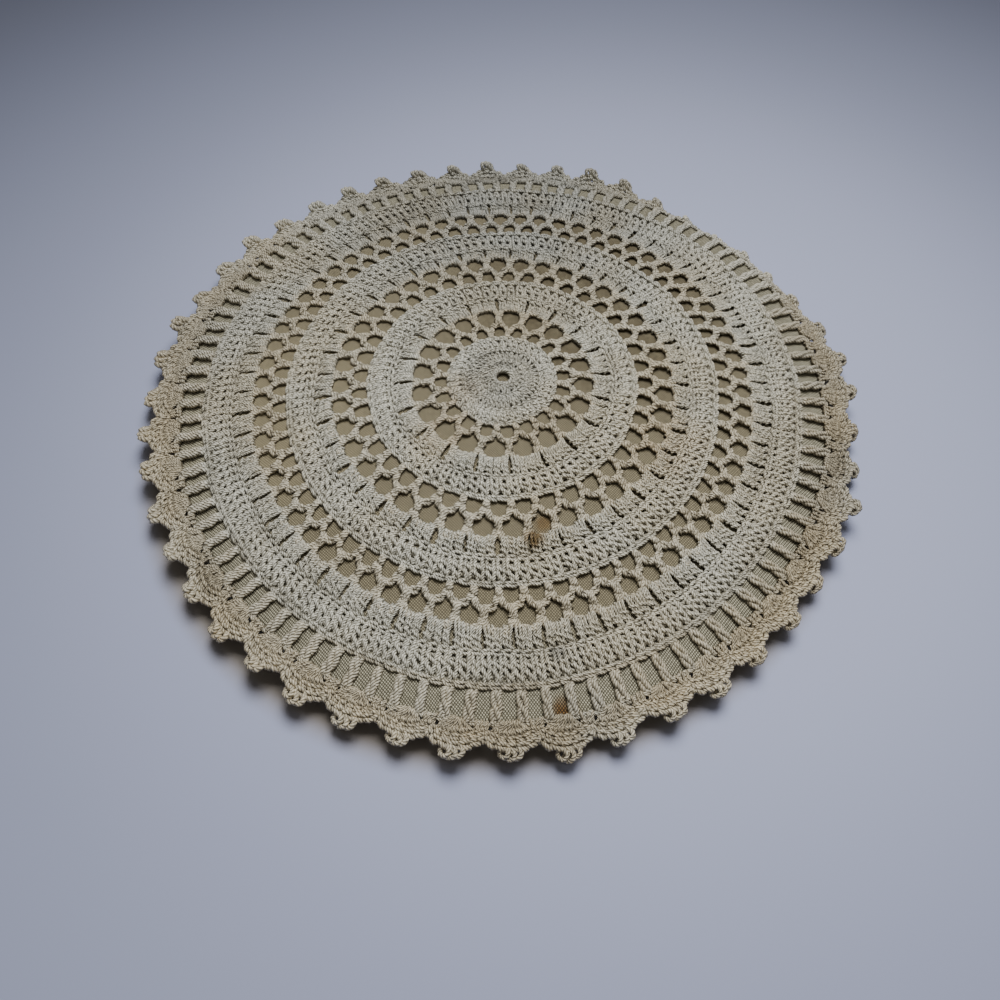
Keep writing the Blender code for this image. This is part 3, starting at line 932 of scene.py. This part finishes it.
def cotton():
    """Ecru mercerised cord: plies wound round it, a little lustre, broad uneven browning, with painted
    shade where it lies deep in the work and in the grooves between its plies.
    """
    look = Look("crochet_cotton")
    uv = look.node("UVMap", {"uv_map": "along_cord"}, (), ())
    parts = look.parts(uv.outputs[0])
    across = look.math("MULTIPLY", parts[0], PLIES)
    along = look.math("MULTIPLY", parts[1], PLY_TURNS)
    wound = look.math("SUBTRACT", across, along)
    ply = look.thread(wound, 1.0)
    body = look.mix(look.attribute("tone"), CORD_PAINTED_SHADE, CORD_PALE)
    shade = look.mix(1.0, body, PLY_GROOVE_SHADE, "MULTIPLY")
    colour = look.mix(look.math("POWER", ply, GROOVE_WIDTH), shade, body)
    speckle = look.between(look.noise(FINE_NOISE, 1.0), *CORD_SPECKLE)
    colour = look.mix(1.0, colour, speckle, "MULTIPLY")
    colour = look.mix(look.attribute("worn"), colour, WORN_TINT, "MULTIPLY")
    patch = look.between(look.noise(AGED_NOISE, 3.0), *AGED_FROM)
    colour = look.mix(patch, colour, AGED_TINT, "MULTIPLY")
    colour = stains_and_painted_shading(look, colour, COTTON_MARKS)
    return look.finish(colour, CORD_ROUGHNESS, ply, CORD_BUMP)


def linen():
    """Plain-woven linen, its threads lying aslant, with painted shade under the nets and painted light,
    paler and of more contrast, towards the rim.
    """
    look = Look("pad_linen")
    slant = look.node("Mapping", {}, (0, "Rotation"), (look.place(), (0.0, 0.0, math.radians(LINEN_SLANT))))
    parts = look.parts(slant.outputs[0])
    wander = look.noise(WANDER_NOISE)
    threads = []
    for axis in range(2):
        steep = look.math("MULTIPLY_ADD", parts[2], 1.0 - 2.0 * axis, parts[axis])
        bent = look.math("MULTIPLY_ADD", wander, LINEN_WANDER, steep)
        threads.append(look.thread(bent, LINEN_PITCH))
    cloth = look.math("MULTIPLY", *threads)
    cloth = look.math("POWER", cloth, LINEN_GAPS)
    uneven = look.math("MULTIPLY_ADD", look.noise(FINE_NOISE), *LINEN_UNEVEN)
    cloth = look.math("MULTIPLY", cloth, uneven)
    reach = look.distance(look.place(), (0.0, 0.0, 0.0))
    rim_lit = look.between(reach, *LINEN_RIM_LIGHT_FROM)
    valley = look.mix(rim_lit, LINEN_VALLEY, LINEN_VALLEY_RIM_LIT)
    hill = look.mix(rim_lit, LINEN_HILL, LINEN_HILL_RIM_LIT)
    colour = stains_and_painted_shading(look, look.mix(cloth, valley, hill), LINEN_MARKS)
    return look.finish(colour, LINEN_ROUGHNESS, cloth, LINEN_BUMP)


def stains_and_painted_shading(look, colour, marks):
    """The colour with soft-edged marks, each broken up by fine noise: stains of age and patches of painted
    shade and painted light.
    """
    blotch = look.noise(BLOTCH_NOISE)
    flat = look.node("VectorMath", {"operation": "MULTIPLY"}, (0, 1), (look.place(), (1.0, 1.0, 0.0)))
    for x, y, radius, strength, shade in marks:
        away = look.distance(flat.outputs[0], (x, y, 0.0))
        near = look.between(away, radius, MARK_CORE * radius, kind="SMOOTHSTEP")
        broken = look.math("MULTIPLY", near, blotch)
        factor = look.math("MULTIPLY", broken, 2.0 * strength)
        factor = look.math("MINIMUM", factor, 1.0)
        colour = look.mix(factor, colour, shade, "MULTIPLY")
    return colour


# ---- the pad as mesh ----
def pad_top(radius):
    """Height of the pad's even crown, which runs on past the shoulder."""
    return CROWN_HEIGHT - CROWN_FALL * radius ** 2 - ROLL_FALL * (radius - ROLL_START) ** 2


def pad_profile():
    """The pad's section from its top to its foot, as (radius, height) points."""
    under = COVER_THICKNESS + SEAT_GAP
    section = []
    for radius in np.arange(PAD_RING_STEP, PAD_SHOULDER_RADIUS + 1e-6, PAD_RING_STEP):
        section.append((radius, float(crown(radius, 0.0)) - under + PAD_BULGE))
    for turn in np.radians(np.arange(7.5, 90.1, 7.5)):
        radius = PAD_SHOULDER_RADIUS + (PAD_RADIUS - PAD_SHOULDER_RADIUS) * math.sin(turn)
        drop = (pad_top(PAD_RADIUS) - under - PAD_WIDEST_HEIGHT) * (1.0 - math.cos(turn))
        section.append((radius, pad_top(radius) - under - drop + PAD_BULGE * math.cos(turn)))
    for turn in np.radians(np.arange(15.0, 90.1, 15.0)):
        radius = PAD_RADIUS - (PAD_RADIUS - PAD_FOOT_RADIUS) * (1.0 - math.cos(turn))
        section.append((radius, PAD_WIDEST_HEIGHT * (1.0 - math.sin(turn))))
    return section


def pad_ring(radius, height, angles):
    """One ring of the pad: drawn out into the three lobes, sunk and raised, with the rim's form."""
    turn = np.radians(angles)
    sunk = smooth_step(radius, *PAD_SINK_FROM) * (1.0 - smooth_step(radius, *PAD_SINK_TO))
    level = height - PAD_SINK * sunk * (0.5 + 0.5 * np.cos(np.radians(angles - PAD_SINK_ANGLE)))
    level = level - PAD_DIMPLE * (1.0 - smooth_step(radius, *PAD_DIMPLE_TO))
    ease = min(1.0, height / PAD_EASE)
    level = level - PAD_SIDE_SINK * np.cos(turn) ** 2 * smooth_step(radius, *PAD_SIDE_FROM) * ease
    rise = PAD_FAR_RISE * np.maximum(0.0, np.sin(turn)) * smooth_step(radius, *PAD_FAR_FROM)
    level = level + rise * min(1.0, height / PAD_FAR_EASE)
    up, out = rim_form(radius, angles)
    level = np.maximum(0.0, level + up * ease)
    reach = radius + lobe(radius, angles) + out
    return np.stack([reach * np.cos(turn), reach * np.sin(turn), level], axis=1).tolist()


def make_pad(material):
    """The linen pad, turned from its section."""
    sides = PAD_SIDES
    section = pad_profile()
    angles = 360.0 * np.arange(sides) / sides
    points = [[0.0, 0.0, CROWN_HEIGHT - COVER_THICKNESS - SEAT_GAP + PAD_BULGE - PAD_DIMPLE]]
    for radius, height in section:
        points += pad_ring(radius, height, angles)
    faces = []
    for side in range(sides):
        following = (side + 1) % sides
        faces.append((0, 1 + side, 1 + following))
        for level in range(len(section) - 1):
            above, below = 1 + level * sides, 1 + (level + 1) * sides
            faces.append((above + side, below + side, below + following, above + following))
    last = 1 + (len(section) - 1) * sides
    faces.append(tuple(last + side for side in range(sides))[::-1])
    mesh = bpy.data.meshes.new("linen_pad_cloth")
    mesh.from_pydata(points, [], faces)
    mesh.shade_smooth()
    mesh.materials.append(material)
    return placed("linen_pad_cloth", mesh)


# ---- the whole ----
def make_cover(material):
    """Every round of the crochet, as one object for each skein."""
    skeins = {}

    def skein(name):
        return skeins.setdefault(name, Skein(name))

    middle_ring(skein("crochet_middle"))
    for piece, stitches, foot, top in ROUNDS:
        dense_round(skein(piece), stitches, foot, top)
    for piece, group_piece, count, first, edge, apex, arch, cord, stitches, top in NETS:
        middles = net(skein(piece), count, first, edge, apex, arch, cord)
        groups(skein(group_piece), middles, arch, stitches, top, 180.0 / count)
    tall_stitches(skein("crochet_border"))
    scallops(skein("crochet_shells"), skein("crochet_picots"))
    return {name: made.knit(material) for name, made in skeins.items()}


def make_floor():
    """A plain pale floor, with a painted pool of light round the object and a painted shadow under its rim.
    """
    half = FLOOR_HALF
    mesh = bpy.data.meshes.new("floor")
    corners = [(-half, -half, 0), (half, -half, 0), (half, half, 0), (-half, half, 0)]
    mesh.from_pydata(corners, [], [(0, 1, 2, 3)])
    look = Look("floor")
    place = look.place()
    away = look.distance(place, FLOOR_FADE_MIDDLE)
    beyond = look.between(away, *FLOOR_FADE, kind="SMOOTHSTEP")
    reach = look.distance(place, SHADE_MIDDLE)
    outside = look.between(reach, *SHADE_EDGE, kind="SMOOTHSTEP")
    open_floor = look.mix(beyond, FLOOR_PAINTED_POOL, FLOOR_FAR)
    colour = look.mix(outside, FLOOR_PAINTED_SHADOW, open_floor)
    mesh.materials.append(look.finish(colour, FLOOR_ROUGHNESS))
    placed("floor", mesh)


def make_light():
    """One soft window on the far side, and a dim sky."""
    world = bpy.data.worlds.new("studio")
    world.use_nodes = True
    background = world.node_tree.nodes["Background"]
    background.inputs["Color"].default_value = SKY_COLOUR
    background.inputs["Strength"].default_value = SKY_STRENGTH
    bpy.context.scene.world = world
    light = bpy.data.lights.new("window", "AREA")
    light.energy = LAMP_ENERGY
    light.size = LAMP_SIZE
    light.spread = math.radians(LAMP_SPREAD)
    lamp = placed("window", light)
    lamp.location = LAMP_PLACE
    lamp.rotation_euler = (Vector(LAMP_TARGET) - lamp.location).to_track_quat("-Z", "Y").to_euler()


def make_camera():
    camera = bpy.data.cameras.new("camera")
    camera.sensor_fit = "HORIZONTAL"
    camera.lens = CAMERA_LENS
    viewer = placed("camera", camera)
    viewer.location = CAMERA_PLACE
    viewer.rotation_euler = (math.radians(CAMERA_PITCH), 0.0, math.radians(CAMERA_ROLL))
    bpy.context.scene.camera = viewer


cotton_material = cotton()
pad = make_pad(linen())
cover = make_cover(cotton_material)
make_floor()
make_light()
make_camera()

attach(pad, "root")
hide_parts("linen_pad")
for piece in cover.values():
    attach(piece, "root")
    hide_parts("crochet_cover")
